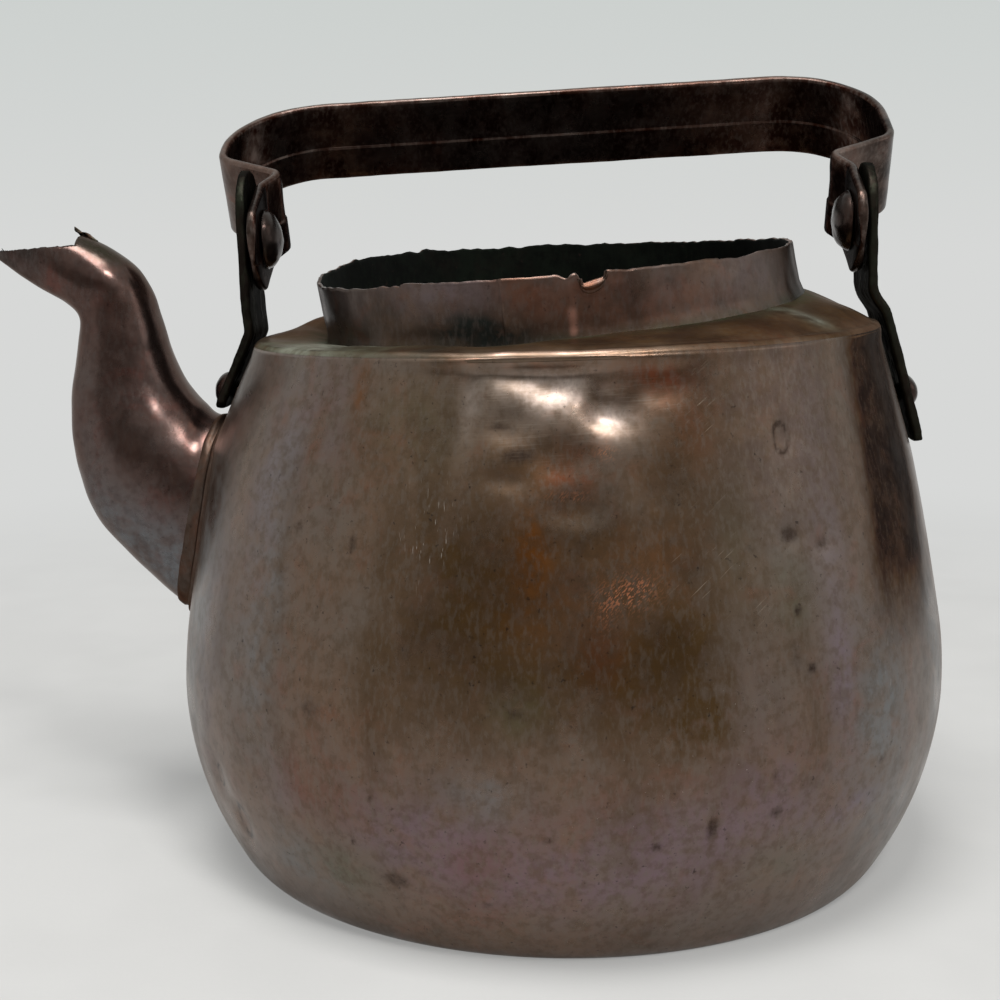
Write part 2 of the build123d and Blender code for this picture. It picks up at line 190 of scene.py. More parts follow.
# Stains: angle, height, half width, half height and strength
wall_spots = {
    "plum": [(-107, 30, 17, 9, 0.85), (-92, 22, 22, 7, 0.7), (-74, 28, 18, 10, 0.8), (-63, 40, 11, 9, 0.55),
             (-50.8, 62, 3.6, 13, 1.0), (-55, 29, 12, 8, 0.4), (-128, 112, 9, 12, 0.4), (-46.7, 30.7, 7, 3, 0.8),
             (60, 40, 40, 20, 0.7), (130, 50, 30, 26, 0.6), (12, 60, 20, 30, 0.4)],
    # Lilac; its tall narrow bands at the two sides of the front are partly a painted reflection
    "lilac_and_reflection": [(-51, 100, 5.5, 22, 0.8), (-136, 98, 6, 22, 0.6), (-148, 60, 7, 26, 0.5), (-128, 34, 5, 6, 0.5),
              (-67, 60, 8, 12, 0.4), (95, 104, 20, 14, 0.5)],
    # Blue-grey; at the two sides of the front it is partly a painted reflection of the pale room at a low angle
    "blue_and_reflection": [(-156, 66, 10, 36, 0.7), (-133, 68, 6, 24, 0.6), (-126, 16, 12, 7, 0.6), (-98.9, 40.5, 8, 5, 0.6),
             (-42, 50, 11, 14, 0.8), (-22, 66, 10, 36, 0.7), (-36, 24, 14, 9, 0.5), (-59, 94, 5, 12, 0.35),
             (95, 90, 24, 16, 0.6), (10, 50, 12, 30, 0.6), (176, 70, 12, 30, 0.4)],
    "olive": [(-101.8, 84, 12, 13, 1.0), (-96, 68, 13, 11, 0.6), (-75.1, 68, 11, 12, 1.05), (-72, 55, 8, 8, 0.7),
              (-86, 92, 13, 9, 0.5), (-85, 60, 16, 10, 0.5), (-72, 104, 9, 13, 0.65), (-111, 62, 10, 12, 0.45),
              (-55.5, 49, 3, 9, 0.45), (-94, 106, 9, 5, 0.5), (40, 84, 26, 18, 0.8), (160, 96, 18, 14, 0.7)],
    "green": [(-94.8, 58, 5, 5, 0.55), (-120, 18, 9, 6, 0.6), (-66, 96, 4, 14, 0.45), (-60, 22, 10, 6, 0.5),
              (-112, 112, 12, 8, 0.35), (-58, 78, 5, 9, 0.4), (70, 24, 14, 6, 0.6)],
    "ochre": [(-93.3, 89, 4, 8, 1.0), (-70, 112, 5, 8, 0.7), (-77, 88, 7, 6, 0.4), (-90, 76, 12, 8, 0.3),
              (-128.5, 108.5, 1.8, 6.5, 0.7), (-122.3, 119, 1.8, 6, 0.7), (72, 70, 8, 6, 0.8)],
    "rust": [(-88.3, 103.6, 4.2, 3.4, 1.1), (-75.6, 122.2, 6.5, 2.6, 1.1), (-72, 115, 4, 5, 0.25),
             (-124.1, 38.1, 7, 6, 0.55), (-84.5, 70, 4, 6, 0.45), (-100, 25, 6, 5, 0.35), (110, 80, 9, 5, 0.8)],
    "dark": [(-95.8, 107.1, 5, 2.0, 0.8), (-99, 112.5, 3, 1.0, 0.75), (-57.6, 90, 2.9, 2.4, 0.8),
             (-52, 87.5, 2.4, 1.9, 0.7), (-64, 88, 2.2, 1.4, 0.55), (-59.5, 98, 1.2, 1.0, 0.5),
             (-118.5, 88, 1.4, 2.6, 0.8), (-128.4, 90, 1.8, 1.8, 0.65), (-122.6, 53.7, 3.6, 3.2, 0.65),
             (-113.5, 37, 1.1, 1.1, 0.7), (-117, 26, 0.9, 1.1, 0.85), (-111.5, 18.5, 4.4, 2.6, 0.75),
             (-95, 57.5, 2.2, 1.4, 0.7), (-70.5, 32.7, 1.6, 3.2, 0.85), (-77.5, 29.5, 1.6, 1.4, 0.8),
             (-91, 31.5, 1.0, 1.0, 0.85), (-61.5, 34, 2.2, 1.5, 0.8), (-62, 42, 1.3, 2.0, 0.7),
             (-57.6, 75, 1.2, 1.3, 0.85), (-56, 63, 1.3, 1.5, 0.85), (-58.5, 66, 2.0, 5.0, 0.6),
             (-41, 60, 1.6, 2.2, 0.5), (-42.5, 39, 2.6, 1.4, 0.7), (-105, 45, 1.0, 1.0, 0.7),
             (-138, 60, 1.6, 2.0, 0.6), (-99, 15, 1.6, 1.0, 0.7), (-103, 92, 2.0, 1.2, 0.5), (-88, 48, 1.0, 1.0, 0.6),
             (20, 100, 4, 4, 0.9), (98, 58, 5, 4, 0.8), (140, 24, 5, 3, 0.8), (60, 104, 3, 6, 0.8)],
    "rubbed": [(-81.6, 80.4, 3.3, 2.0, 1.0), (-79.6, 82.2, 2.2, 1.3, 0.9), (-84.0, 77.3, 0.9, 2.2, 0.7),
               (-83.5, 107.8, 1.4, 0.8, 0.9), (-88.5, 99.5, 3.0, 0.6, 0.6), (55, 96, 4, 3, 0.9)],
    "nicks": [(-107.1, 91.7, 3.4, 5.0, 1.0), (-40, 60, 3, 5, 0.4), (120, 80, 12, 8, 0.8)],
    # Pale bared metal at the knocks, laid where they catch the light: partly a painted highlight
    "bared_and_highlit": [(-91.5, 120, 8, 4, 0.8), (-82.5, 114, 4, 3, 0.7), (-103.5, 117, 2, 8, 0.4), (92, 108, 9, 5, 0.6)],
    "hatch": [(-69.8, 116, 2.6, 9, 0.9), (-71, 86, 4.0, 5, 1.0), (-64, 76, 2.5, 3, 0.6), (20, 90, 10, 8, 0.8)],
    "brushed": [(-94, 119, 12, 4.5, 0.9), (-81, 118, 8, 3, 0.9), (-90, 111, 10, 4, 0.6), (100, 110, 40, 12, 0.6)],
    "specked": [(-70, 52, 12, 14, 1.0), (-84, 40, 16, 10, 0.5), (-96, 50, 14, 10, 0.35), (-60, 76, 8, 8, 0.5)],
}
# Dark rims round three small dents: angle, height, half width and half height
dent_rims = sum(0.85 * hump(reach_of(turn, wall, *dent) - 1, 1 / 2.6)
                for dent in ((-56.7, 109.3, 2.0, 3.0), (-141.4, 19.8, 2.0, 4.0), (-145.7, 29, 1.6, 2.4)))
wall_paint = {mark: stain(turn, wall, spots, dent_rims if mark == "dark" else 0)
              for mark, spots in wall_spots.items()}
# A painted dark reflection in a broad band down the right of the front, and a weaker band of painted shade beside it
from_dark_reflection = turn_between(turn, -36) - 0.11 * (wall[..., 2] - 58)
from_shade_band = turn_between(turn, -64)
wall_paint["dark_reflection"] = between(from_dark_reflection, -13, -4, 9, 20) * smooth(wall[..., 2], 52, 88)
wall_paint["shade_band"] = 0.9 * between(from_shade_band, -14, 2, 14, 22) * smooth(wall[..., 2], 80, 102)
# A pink line just under the crease, partly wear and partly a painted highlight, strongest in front
wall_paint["wear_and_highlight"] = (0.6 * smooth(climb, 0.972, 0.992) * (0.12 + 0.88 * near(turn_between(turn, -96), 10, 24))
                      * (0.7 + 0.6 * wander(wall, 3.5, 3)))


def put(name, data):
    """A new object in the scene, at the origin."""
    made = bpy.data.objects.new(name, data)
    bpy.context.scene.collection.objects.link(made)
    return made


def sheet_object(name, grid, marks=None, closed=True):
    """A smooth mesh object from a grid of points in millimetres, with painted marks on its points."""
    rows, columns = grid.shape[:2]
    number = np.arange(rows * columns).reshape(rows, columns)
    right = np.roll(number, -1, 1)
    last = columns if closed else columns - 1
    faces = np.stack([number[:-1, :last], right[:-1, :last], right[1:, :last], number[1:, :last]], -1)
    mesh = bpy.data.meshes.new(name)
    mesh.from_pydata((grid.reshape(-1, 3) * MM).tolist(), [], faces.reshape(-1, 4).tolist())
    for mark, values in (marks or {}).items():
        mesh.attributes.new(mark, "FLOAT", "POINT").data.foreach_set(
            "value", np.broadcast_to(values, (rows, columns)).astype(float).ravel())
    mesh.shade_smooth()
    return put(name, mesh)


body = sheet_object("body_wall_copper", wall, wall_paint)

# The way into the spout: the wall is open inside the foot's oval, and its edge follows that oval.
foot_low, foot_high = np.array([-95.7, 0, 57.4]), np.array([-86.9, 0, 105.6])
foot_middle = (foot_low + foot_high) / 2
foot_along = unit(foot_high - foot_low)
bore = (np.linalg.norm(foot_high - foot_low) / 2 - 1.2, 16.8)


def bore_reach(point):
    """How far a point of the wall is from the bore's middle, 1 on its edge, and the way to it."""
    offset = np.array(point) / MM - foot_middle
    return math.hypot(offset @ foot_along / bore[0], offset[1] / bore[1]), offset


cutting = bmesh.new()
cutting.from_mesh(body.data)
opened = [face for face in cutting.faces
          if face.calc_center_median().x < 0 and bore_reach(face.calc_center_median())[0] < 1]
bmesh.ops.delete(cutting, geom=opened, context="FACES")
for vertex in cutting.verts:
    if vertex.is_boundary and 0.01 < vertex.co.z < 0.115:
        reach, offset = bore_reach(vertex.co)
        to_edge = (foot_along * (offset @ foot_along) + np.array([0, offset[1], 0])) * (1 / reach - 1)
        vertex.co += Vector(to_edge * MM)
cutting.to_mesh(body.data)
cutting.free()


def give_thickness(piece, thickness, inside=0, rim=0):
    """Gives a sheet its thickness inwards, with its own finish inside and on its cut edge."""
    wall = piece.modifiers.new("sheet", "SOLIDIFY")
    wall.thickness = thickness * MM
    wall.offset = -1
    wall.material_offset = inside
    wall.material_offset_rim = rim


def linear(code):
    """Linear colour from an sRGB hex value."""
    parts = [int(code[i:i + 2], 16) / 255 for i in (1, 3, 5)]
    return [c / 12.92 if c <= 0.04045 else ((c + 0.055) / 1.055) ** 2.4 for c in parts] + [1.0]


def add(tree, kind, inputs=None, **settings):
    """Adds a node with its settings, and fills its inputs with values, sockets or other nodes."""
    made = tree.nodes.new(kind)
    for key, value in settings.items():
        setattr(made, key, value)
    for key, value in (inputs or {}).items():
        if isinstance(value, bpy.types.Node):
            value = value.outputs[0]
        if isinstance(value, bpy.types.NodeSocket):
            tree.links.new(value, made.inputs[key])
        else:
            made.inputs[key].default_value = value
    return made


def new_material(name):
    """A new material and its empty tree."""
    made = bpy.data.materials.new(name)
    made.use_nodes = True
    made.node_tree.nodes.clear()
    return made, made.node_tree


def lay_over(tree, under, tint, amount, mark=None):
    """One film of colour over another, by an amount from 0 to 1, and only where a mark is painted."""
    if mark:
        there = add(tree, "ShaderNodeAttribute", attribute_name=mark).outputs["Fac"]
        amount = add(tree, "ShaderNodeMath", {0: amount, 1: there}, operation="MULTIPLY", use_clamp=True)
    return add(tree, "ShaderNodeMix", {0: amount, 6: under, 7: linear(tint)}, data_type="RGBA").outputs[2]


def patches(tree, place, size, low, high, most=1.0, detail=4.0, warp=0.0, least=0.0):
    """Cloudy patches of about size millimetres, from least to most between two levels of the cloud."""
    cloud = add(tree, "ShaderNodeTexNoise", {
        "Vector": place, "Scale": 1 / (size * MM), "Detail": detail, "Roughness": 0.6, "Distortion": warp})
    levels = {"Value": cloud, "From Min": low, "From Max": high, "To Min": least, "To Max": most}
    return add(tree, "ShaderNodeMapRange", levels, interpolation_type="SMOOTHSTEP")


def flecked(tree, mark, grain, ragged):
    """A small crisp mark, its edge broken by a grain. A strongly ragged one falls apart into flecks."""
    there = add(tree, "ShaderNodeAttribute", attribute_name=mark).outputs["Fac"]
    broken = add(tree, "ShaderNodeMath", {0: grain, 1: ragged, 2: -ragged / 2}, operation="MULTIPLY_ADD")
    both = add(tree, "ShaderNodeMath", {0: there, 1: broken}, operation="ADD")
    kept = add(tree, "ShaderNodeMath", {0: both, 1: there}, operation="MULTIPLY", use_clamp=True)
    levels = {"Value": kept, "From Min": 0.04, "From Max": 0.9}
    return add(tree, "ShaderNodeMapRange", levels, interpolation_type="SMOOTHSTEP")


def hairlines(tree, place, lean, length, width, bare, most):
    """Fine scratches that lean one way: a grain drawn out along the scratch."""
    drawn = add(tree, "ShaderNodeMapping", {
        "Vector": place, "Rotation": (0, math.radians(lean), 0),
        "Scale": (width * MM, length * MM, length * MM)}, vector_type="TEXTURE")
    grain = add(tree, "ShaderNodeTexNoise", {"Vector": drawn, "Scale": 1.0, "Detail": 2.0})
    return add(tree, "ShaderNodeMapRange", {
        "Value": grain, "From Min": bare, "From Max": bare + 0.07, "To Max": most})


def patinated_copper(name, tones, films=(), spots=(), scratches=(), gloss=(0.26, 0.44), grit=1.0,
                     metallic=0.9, edge_tone="#ffffff", shaded_sheen_mark=None):
    """Copper under a thin brown oxide: tones are the main film, a darker, a redder and a greyer one.

    The film keeps the metal's soft mirror and takes its colour, dark where it is thick, plum or
    grey-blue where it is thin. Films are broad cloudy layers: stains, and on some pieces painted
    reflection and painted shade. Spots are small and crisp, and the metal under the oxide shows pale
    in scratches and pinkish in rubbed places. Where the mark given as the last argument is painted,
    the sheen that copper has at a low angle is painted dark brown too: painted shade on its reflection.
    """
    made, tree = new_material(name)
    place = add(tree, "ShaderNodeTexCoord").outputs["Object"]
    hanging = add(tree, "ShaderNodeMapping", {"Vector": place, "Scale": (1, 1, 0.4)})
    main, darker, redder, greyer = tones
    film = lay_over(tree, linear(main), greyer, patches(tree, place, 34, 0.42, 0.68, 0.8))
    film = lay_over(tree, film, darker, patches(tree, hanging, 17, 0.45, 0.72, 0.75, warp=0.5))
    film = lay_over(tree, film, redder, patches(tree, place, 10, 0.50, 0.76, 0.65, warp=0.8))
    cloud = patches(tree, place, 6, 0.32, 0.62, detail=7.0, least=0.3)
    for mark, tint in films:
        film = lay_over(tree, film, tint, cloud, mark)
    film = lay_over(tree, film, darker, patches(tree, place, 2.4, 0.42, 0.66, 0.34 * grit, detail=5.0))
    film = lay_over(tree, film, greyer, patches(tree, hanging, 1.0, 0.46, 0.66, 0.26 * grit, detail=3.0))
    grain = add(tree, "ShaderNodeTexNoise", {
        "Vector": place, "Scale": 1 / (1.2 * MM), "Detail": 5.0, "Roughness": 0.7})
    for mark, tint, ragged in spots:
        film = lay_over(tree, film, tint, flecked(tree, mark, grain, ragged))
    film = lay_over(tree, film, "#231b18", patches(tree, place, 1.3, 0.63, 0.74, 0.5 * grit))
    for mark, tint, *lines in scratches:
        film = lay_over(tree, film, tint, hairlines(tree, place, *lines), mark)
    rough = patches(tree, place, 12, 0.3, 0.7, gloss[1], detail=6.0, least=gloss[0])
    blows = add(tree, "ShaderNodeTexNoise", {"Vector": place, "Scale": 1 / (7 * MM), "Detail": 2.0})
    skin = add(tree, "ShaderNodeTexNoise", {"Vector": place, "Scale": 1 / (0.8 * MM), "Detail": 3.0})
    hammered = add(tree, "ShaderNodeBump", {"Height": blows, "Strength": 0.3, "Distance": 0.25 * MM})
    pitted = add(tree, "ShaderNodeBump", {
        "Height": skin, "Strength": 0.22 * grit, "Distance": 0.05 * MM, "Normal": hammered})
    # Where that mark is painted, the low-angle sheen is painted dark brown: painted shade on the reflection
    sheen = lay_over(tree, linear(edge_tone), "#4c3d34", 1.0, shaded_sheen_mark) if shaded_sheen_mark else linear(edge_tone)
    shader = add(tree, "ShaderNodeBsdfPrincipled", {
        "Base Color": film, "Metallic": metallic, "Roughness": rough, "Normal": pitted, "Specular Tint": sheen})
    add(tree, "ShaderNodeOutputMaterial", {"Surface": shader})
    return made


give_thickness(body, 1.4, inside=1)
# Planished copper under a handled oxide: a soft brown mirror, plum and lilac where the film is thin,
# olive and ochre where it is thick. Lilac and blue-grey bands at the sides are partly a painted reflection,
# pale bared metal at the knocks carries a painted highlight, and the dark bands on the right are a painted
# dark reflection and painted shade.
outer_patina = patinated_copper(
    "patinated copper, planished", ("#725c4c", "#52402f", "#77513e", "#70655c"),
    films=(("plum", "#78646a"), ("lilac_and_reflection", "#80767a"), ("blue_and_reflection", "#74787a"), ("olive", "#523d24"),
           ("green", "#5c5b45"), ("ochre", "#6f431c"), ("rust", "#6c371d"), ("shade_band", "#5a4a42"),
           ("bared_and_highlit", "#a89a92"), ("dark_reflection", "#3a2a23")),
    spots=(("dark", "#33261f", 0.8), ("wear_and_highlight", "#c98f72", 0.8)),
    # Mark, tint, lean in degrees, length and width in millimetres, how bare it stays and how strong it is
    scratches=(("nicks", "#e6dcd2", 0, 3.2, 0.35, 0.66, 1.0), ("hatch", "#c9b8a6", 50, 7.0, 0.28, 0.66, 0.7),
               ("brushed", "#94867a", 86, 7.0, 0.26, 0.56, 0.3), ("specked", "#f2ece6", 0, 0.4, 0.4, 0.75, 1.0),
               ("rubbed", "#bd7a58", 40, 0.9, 0.3, 0.53, 0.9)),
    grit=1.3, shaded_sheen_mark="dark_reflection")
# Copper left black by steam: no mirror, only a dull sheen on a nearly black skin
inside_oxide = patinated_copper("black oxide inside", ("#1d1d1a", "#121211", "#2a211c", "#262c27"),
                                gloss=(0.6, 0.8), metallic=0.4)
body.data.materials.append(outer_patina)
body.data.materials.append(inside_oxide)
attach(body, "kettle")
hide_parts("body_wall")

# Bottom pan
# A flat disc of copper sheet with a low turned-up rim, soldered into the foot of the wall. Its
# underside is scraped by tables and blackened by the stove.
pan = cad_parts["bottom_plate"]
pan.data.materials.clear()
# Scraped sheet with soot in its scrapes: dull and dark, with redder metal showing through
pan.data.materials.append(patinated_copper(
    "scraped, sooted copper", ("#4a3c34", "#2c2624", "#6b4636", "#55524e"), gloss=(0.42, 0.66), grit=1.4))

# Shoulder
# A ring of sheet that closes the barrel's top. Its outer edge is folded down over the wall, worn
# bright along the fold, with a painted highlight there that is strongest in front, and the neck stands
# on its inner edge in a line of greenish solder.
foot_ring = sloped_ring(0.7, 131.3, 6.4, 3.1)
inner_radius = 57.4
fold_radius = 1.8
fold_reach = 2.2
play = 0.05
shoulder_angles = front_first(-165, -15, 220, 130)
inner = ring_points(foot_ring, (inner_radius, inner_radius), shoulder_angles)
outer = ring_points(crease, crease_radii - fold_radius - play, shoulder_angles)
shoulder_rows = []
for share in np.linspace(1, 0, 22) ** 0.9:
    row = inner * (1 - share) + outer * share
    row[:, 2] += 0.9 * math.sin(math.pi * share) ** 0.8
    shoulder_rows.append(row)
fold = []
for bend in np.radians(np.linspace(90, 5, 10)):
    edge = ring_points(crease, crease_radii + play - fold_radius * (1 - math.cos(bend)), shoulder_angles)
    fold.append(edge - crease[3] * fold_radius * (1 - math.sin(bend)))
fold.append(ring_points(crease, crease_radii + play, shoulder_angles) - crease[3] * fold_reach)
shoulder = np.array(fold[::-1] + shoulder_rows)
shoulder_turn = np.broadcast_to(shoulder_angles, shoulder.shape[:2])
share_in = np.linspace(0, 1, shoulder.shape[0])[:, None]

# It is bent by use, humped at the rear left, and wavy along the fold.
bent = wander(shoulder, 22, 5) * 0.45 + wander(shoulder, 8, 6) * 0.15
edge_wave = wander(shoulder, 14, 7) * 0.25
shoulder[..., 2] += bent * np.clip(share_in * 4 - 1, 0, 1)
humped = 2.8 * hump(turn_between(shoulder_turn, 153), 17) + 0.9 * wander(shoulder, 15, 10)
shoulder[..., 2] += humped * between(share_in, 0.4, 0.62, 0.75, 0.97)
shoulder[..., 2] += (edge_wave - 0.1) * between(share_in, 0.02, 0.15, 0.2, 0.6)
highlit_front = near(turn_between(shoulder_turn, -96), 10, 30)
shoulder_paint = {
    # A pink line along the fold, partly wear and partly a painted highlight, strongest in front
    "wear_and_highlight": near(share_in - 0.2, 0.03, 0.14) * (0.15 + 0.6 * highlit_front) * (0.75 + 0.6 * wander(shoulder, 5, 8)),
    "brown": smooth(share_in, 0.3, 0.5),
    "green": stain(shoulder_turn, shoulder, [(-150, 129, 16, 10, 1.0), (-128, 130, 10, 6, 0.7)],
                   smooth(share_in, 0.7, 0.97) * (0.75 + 0.5 * wander(shoulder, 7, 9))),
    "dark": stain(shoulder_turn, shoulder, [(-111.7, 129, 6, 3, 0.9)]),
    # Pale grey-green patches: a painted reflection of the pale room
    "pale": stain(shoulder_turn, shoulder, [(-142, 127, 15, 5, 1.1), (-38, 132.5, 3, 1.6, 0.9)]),
}
shoulder_sheet = sheet_object("shoulder_copper_ring", shoulder, shoulder_paint)
give_thickness(shoulder_sheet, 1.1, inside=1, rim=1)
# Copper sheet with solder run over it: brown and green-grey beside the neck, with whitish patches of
# painted reflection, and a pink line along the fold, partly wear and partly a painted highlight
shoulder_sheet.data.materials.append(patinated_copper(
    "patinated copper, soldered edge", ("#6f5a4a", "#51402f", "#76503c", "#6d6359"),
    films=(("brown", "#614a33"), ("green", "#4a5440"), ("dark", "#262823"), ("pale", "#a3a596")),
    spots=(("wear_and_highlight", "#c6a696", 0.5),), gloss=(0.3, 0.48), edge_tone="#9a8a7e"))
shoulder_sheet.data.materials.append(inside_oxide)
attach(shoulder_sheet, "kettle")
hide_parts("shoulder_plate")

# Neck collar
# A strip of thin sheet rolled to a ring, lapped in front and soldered on the shoulder. Its upper
# edge has torn all the way round, and beside the lap a small tab has folded out.
rim_shift = -2.2
rim_ring = sloped_ring(rim_shift, 144.9, 4.6, 2.5)
collar_radius = 58.3
collar_height = 13.7


def collar_at(angles, level):
    """Points of the plain collar, at levels from 0 at its foot to 1 at its rim."""
    foot, rim = [ring_points(ring, (collar_radius, collar_radius), angles) for ring in (foot_ring, rim_ring)]
    return foot * (1 - level[..., None]) + rim * level[..., None]


def torn_rim(angles):
    """How many millimetres the torn edge lies under the rim's ring, at each angle."""
    round_it = np.stack([np.cos(angles), np.sin(angles), angles * 0], -1) * collar_radius
    at_rear = near(turn_between(angles, 90), 70, 115)
    front = 0.28 * (1 + wander(round_it, 2.3, 11)) + 0.22 * (1 + wander(round_it, 6.5, 12))
    left_step = (0.5 * smooth(-turn_between(angles, -124.4), 0, 0.5)
                 + 0.35 * smooth(-turn_between(angles, -131.7), 0, 0.4))
    rear = (0.35 + 0.6 * wander(round_it, 5.5, 17) + 0.45 * wander(round_it, 1.9, 13)
            + 0.25 * wander(round_it, 0.9, 18))
    ragged = (front + left_step) * (1 - at_rear) + np.maximum(rear, -0.3) * at_rear
    rising = 2.3 * hump(turn_between(angles, 140), 30) + 0.4 * hump(turn_between(angles, 104), 20)
    falling = 1.1 * hump(turn_between(angles, 46), 24)
    into = turn_between(angles, -84.8)
    notch = between(into, 0, 0.7, 5.6, 6.6) * (2.5 - 0.22 * np.clip(into, 0, 6))
    dip = 0.95 * hump(turn_between(angles, -87.2), 1.3)
    right_step = 0.4 * between(turn_between(angles, -51.7), 0, 0.4, 8, 14)
    return ragged - rising + falling + notch + dip + right_step


turn, climb = np.meshgrid(front_first(-135, -45, 300, 240), np.linspace(0, 1, 22))
collar = collar_at(turn, climb * (1 - torn_rim(turn) / collar_height))
from_lap = turn_between(turn, -101.3 - 1.4 * (1 - climb))
from_pinch = turn_between(turn, -87.9 + 1.6 * climb)
lapped = 0.6 * between(from_lap, 0, 0.8, 5, 14)
pinched = 0.35 * hump(from_pinch, 1.1) * smooth(climb, 0.1, 0.6)
low_part = np.clip(1 - climb * collar_height / 3.2, 0, 1) ** 2
flared = low_part * (0.7 + 0.4 * near(turn_between(turn, -10), 25, 80))
uneven = 0.3 * wander(collar, 16, 14) + 0.16 * wander(collar, 6, 15)
curled = 0.5 * smooth(climb, 0.75, 1) * near(turn_between(turn, -81.5), 3, 9)
collar = collar + outward_of(collar) * (lapped + pinched + flared + uneven + curled - 0.15)[..., None]
collar[..., 2] -= 0.8 * (1 - smooth(climb, 0, 0.15))

collar_paint = {
    # A pinkish line along the pinched ridge: a painted highlight
    "pinch_highlight": (hump(from_pinch, 1.5) * smooth(climb, 0.02, 0.12) * (1 - 0.55 * smooth(climb, 0.4, 0.7))
              * (0.85 + 0.3 * wander(collar, 3, 19))),
    "lap": hump(from_lap, 0.45) * 0.6,
    # Dark stains; the blots at -4 and -170 degrees, on the collar's right and left sides, are painted shade
    "dark": stain(turn, collar, [(-110.5, 129.5, 9, 4, 0.85), (-64.6, 140.4, 1.6, 1.4, 0.5),
                                 (-102.5, 129.5, 9, 3.5, 0.75), (-53.3, 135.3, 1.8, 1.6, 0.5), (-4, 142, 12, 9, 1.0),
                                 (-170, 137, 9, 8, 0.9), (-132, 134, 7, 5, 0.4), (70, 140, 10, 4, 0.8)]),
    "green": (1 - smooth(climb, 0.02, 0.2)) * (0.55 + 0.5 * wander(collar, 6, 16)),
    "plum": stain(turn, collar, [(-122, 138, 12, 5, 0.6), (-108, 138, 8, 4, 0.5), (-70, 138, 9, 4, 0.35),
                                 (-40, 142, 12, 5, 0.5), (150, 140, 20, 8, 0.8)]),
    "rust": stain(turn, collar, [(-96, 138, 5, 6, 0.7), (-80, 136, 12, 6, 0.5), (-60, 137, 10, 4, 0.4)]),
}
neck = sheet_object("neck_collar_copper", collar, collar_paint)
give_thickness(neck, 0.85, inside=1, rim=2)
# Rolled strip, darkened by the flux of its seams: a dim mirror, rust and plum in patches, with
# painted shade on its two sides, where its low-angle sheen is painted dark too, and a painted
# pinkish highlight along the ridge where it was pinched
strip_patina = patinated_copper(
    "patinated copper, rolled strip", ("#5c483a", "#40322a", "#683f2c", "#635a56"),
    films=(("plum", "#6c6062"), ("rust", "#6a4230"), ("green", "#3c4234"), ("dark", "#282b28")),
    spots=(("lap", "#3a2c25", 0.5), ("pinch_highlight", "#9c7263", 0.5)), shaded_sheen_mark="dark")
neck.data.materials.append(strip_patina)
# A crust of verdigris on black oxide: matt, with no mirror at all
neck.data.materials.append(patinated_copper(
    "verdigris and black oxide", ("#0c0d0b", "#070807", "#14110e", "#131812"), gloss=(0.75, 0.9), grit=1.6,
    metallic=0.0, edge_tone="#353532"))
# Metal bared by the tear and lightly tarnished since: a thin bright brown line
neck.data.materials.append(patinated_copper(
    "torn copper edge", ("#775546", "#4e382e", "#86604c", "#655850"), gloss=(0.26, 0.4), grit=0.6))
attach(neck, "kettle")
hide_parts("neck_collar")

# The folded tab: a crescent of the same sheet, bent out and down from the notch's lower edge.
tab_angles = np.radians(np.linspace(-84.4, -78.6, 25))
tab_across = np.linspace(-1, 1, 25)
tab_foot = collar_at(tab_angles, 1 - (torn_rim(tab_angles) - 0.25) / collar_height)
tab_outward = unit((tab_foot - np.array([rim_shift, 0, 0])) * np.array([1, 1, 0]))
tab_rows = []
for bend in np.linspace(0, 1, 9):
    out = (0.45 + 0.85 * math.sin(math.pi * min(bend * 1.4, 1))) * math.sin(math.pi / 2 * bend)
    drop = 2.8 * np.sqrt(np.clip(1 - tab_across**2, 0, 1)) * bend
    tab_rows.append(tab_foot + tab_outward * out - np.array([0, 0, 1]) * drop[:, None])
tab = sheet_object("collar_torn_tab", np.array(tab_rows[::-1]), closed=False)
give_thickness(tab, 0.5)
tab.data.materials.append(strip_patina)
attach(tab, "kettle")

# Spout
# A goose neck beaten up from a folded sheet and seamed underneath. Its foot is turned out to a
# narrow flange soldered on the wall, and the torn beak is open, with a sliver standing at its back.

# The ovals across it from foot to beak: the throat's x and z, the back's x and z, and the width
spout_ovals = np.array([
    (-87.8, 56.0, -79.0, 104.2, 36.0), (-95.7, 57.4, -86.9, 105.6, 36.0), (-107.2, 67.8, -90.2, 108.4, 35.0),
    (-117.0, 78.6, -93.4, 112.0, 33.0), (-122.2, 93.2, -96.2, 116.6, 29.0), (-123.2, 108.7, -98.4, 122.6, 25.0),
    (-121.0, 122.4, -100.3, 130.2, 21.0), (-120.2, 129.4, -103.4, 138.2, 19.6),
    (-123.6, 133.3, -109.3, 145.0, 19.6), (-131.2, 137.6, -121.2, 151.0, 15.0),
    (-140.9, 144.4, -135.7, 152.6, 5.6)])


def spout_at(place, around):
    """Points of the spout's face, by place in ovals from the foot and angle round it, 0 at its back."""
    last = len(spout_ovals) - 1
    i = np.clip(np.floor(place).astype(int), 0, last - 1)
    t = (place - i)[..., None]
    a, b, c, d = [spout_ovals[np.clip(i + k, 0, last)] for k in (-1, 0, 1, 2)]
    oval = 0.5 * (2 * b + (c - a) * t + (2 * a - 5 * b + 4 * c - d) * t**2 + (3 * b - a - 3 * c + d) * t**3)
    nothing = 0 * oval[..., 0]
    throat = np.stack([oval[..., 0], nothing, oval[..., 1]], -1)
    back = np.stack([oval[..., 2], nothing, oval[..., 3]], -1)
    cosine, sine = np.cos(around), np.sin(around)
    square = (np.abs(cosine) ** 2.2 + np.abs(sine) ** 2.2) ** (-1 / 2.2)
    long_way = (cosine * square)[..., None] * (back - throat) / 2
    wide_way = oval[..., 4] / 2 * sine * square
    return (throat + back) / 2 + long_way + np.stack([nothing, wide_way, nothing], -1)


